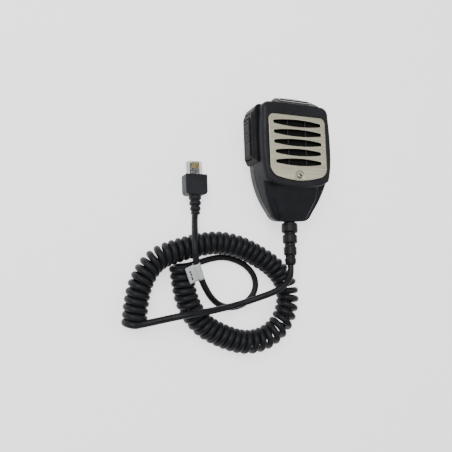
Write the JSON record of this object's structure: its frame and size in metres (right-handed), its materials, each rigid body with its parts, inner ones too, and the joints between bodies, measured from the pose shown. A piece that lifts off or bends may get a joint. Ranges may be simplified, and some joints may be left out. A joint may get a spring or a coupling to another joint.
{
  "type": "hand microphone",
  "caption": "Palm-held speaker microphone with slotted metal grille, side talk bar, hang-up stud, curly cord and clear modular plug.",
  "frame": {"origin": "middle of the hang-up stud's end face, on which the microphone lies", "axes": "+Z out of the grille, +Y towards the top of the microphone, +X to its right seen from the grille side"},
  "size_m": [0.1772, 0.212, 0.0371],
  "materials": {
    "case_plastic": "fine moulded texture, charcoal black",
    "bar_rubber": "matt moulded rubber",
    "cord_rubber": "satin extruded jacket",
    "plug_boot_rubber": "matt moulded boot",
    "seal_rubber": "soft matt",
    "grille_metal": "brushed along its width, warm nickel",
    "trim_metal": "bright satin",
    "insert_plastic": "semi gloss",
    "steel": "zinc plated",
    "stud_metal": "turned, nickel plated",
    "component_plastic": "moulded",
    "plunger_plastic": "moulded",
    "mesh_cloth": "open black cloth",
    "speaker_steel": "plated pressing",
    "cone_paper": "coated paper",
    "copper": "enamelled copper winding",
    "ferrite": "fired ferrite",
    "capsule_metal": "drawn can",
    "board_laminate": "green solder mask",
    "header_plastic": "ivory moulding",
    "capacitor_sleeve": "shrunk sleeve",
    "tag_paper": "coated paper tag",
    "clear_plastic": "clear polycarbonate",
    "gold": "gold plated",
    "wire_red": "insulation",
    "wire_black": "insulation",
    "wire_brown": "insulation",
    "wire_yellow": "insulation",
    "wire_green": "insulation",
    "wire_blue": "insulation",
    "wire_white": "insulation",
    "wire_orange": "insulation"
  },
  "bodies": {
    "case": {"front_cover": "case_plastic", "rear_cover": "case_plastic", "perimeter_seal": "seal_rubber", "case_screws": "steel", "grille_plate": "grille_metal", "grille_screw": "steel", "top_trim": "trim_metal", "top_insert": "insert_plastic", "talk_rim": "bar_rubber", "pivot_pin": "steel", "talk_switch": "component_plastic", "hang_up_stud": "stud_metal", "stud_screw": "steel", "dust_mesh": "mesh_cloth", "speaker_frame": "speaker_steel", "speaker_surround": "seal_rubber", "top_plate": "speaker_steel", "speaker_magnet": "ferrite", "speaker_yoke": "speaker_steel", "speaker_terminals": "board_laminate", "speaker_wires": "wire_red", "mic_holder": "seal_rubber", "mic_capsule": "capsule_metal", "capsule_wires": "wire_black", "circuit_board": "board_laminate", "board_screws": "steel", "cord_header": "header_plastic", "capacitors": "capacitor_sleeve", "audio_chip": "component_plastic", "cable_boot": "cord_rubber", "cord_inner": "cord_rubber", "cord_clamp": "component_plastic", "clamp_screws": "steel", "inner_wires": "wire_red", "cord_lead": "cord_rubber", "cord_coil": "cord_rubber", "cord_tail": "cord_rubber", "label_tag": "tag_paper", "plug_boot": "plug_boot_rubber", "plug_housing": "clear_plastic", "plug_contacts": "gold", "conductor_brown": "wire_brown", "conductor_yellow": "wire_yellow", "conductor_green": "wire_green", "conductor_red": "wire_red", "conductor_black": "wire_black", "conductor_blue": "wire_blue", "conductor_white": "wire_white", "conductor_orange": "wire_orange"},
    "talk_bar": {"talk_bar": "bar_rubber"},
    "plunger": {"switch_plunger": "plunger_plastic"},
    "cone": {"speaker_cone": "cone_paper", "voice_coil": "copper", "dust_cap": "cone_paper"},
    "latch": {"plug_latch": "clear_plastic"}
  },
  "joints": [
    {"name": "talk_press", "type": "hinge", "parent": "case", "child": "talk_bar", "pos_m": [-0.0353, 0.0234, 0.019], "axis": [0, 0, 1], "range_deg": [0, 2.5], "stiffness_Nm_per_rad": 1.2, "springref_deg": -2.86},
    {"name": "plunger_slide", "type": "slide", "parent": "case", "child": "plunger", "axis": [1, 0, 0], "range_m": [0, 0.0012]},
    {"name": "cone_travel", "type": "slide", "parent": "case", "child": "cone", "axis": [0, 0, 1], "range_m": [-0.0005, 0.0005], "stiffness_N_per_m": 1200},
    {"name": "latch_press", "type": "hinge", "parent": "case", "child": "latch", "pos_m": [-0.082, -0.0146, 0.0026], "axis": [-1, 0, 0], "range_deg": [0, 5], "stiffness_Nm_per_rad": 0.5, "springref_deg": -2.86}
  ],
  "couplings": [
    {"joint": "plunger_slide", "follows": "talk_press", "m_per_rad": 0.0254}
  ]
}
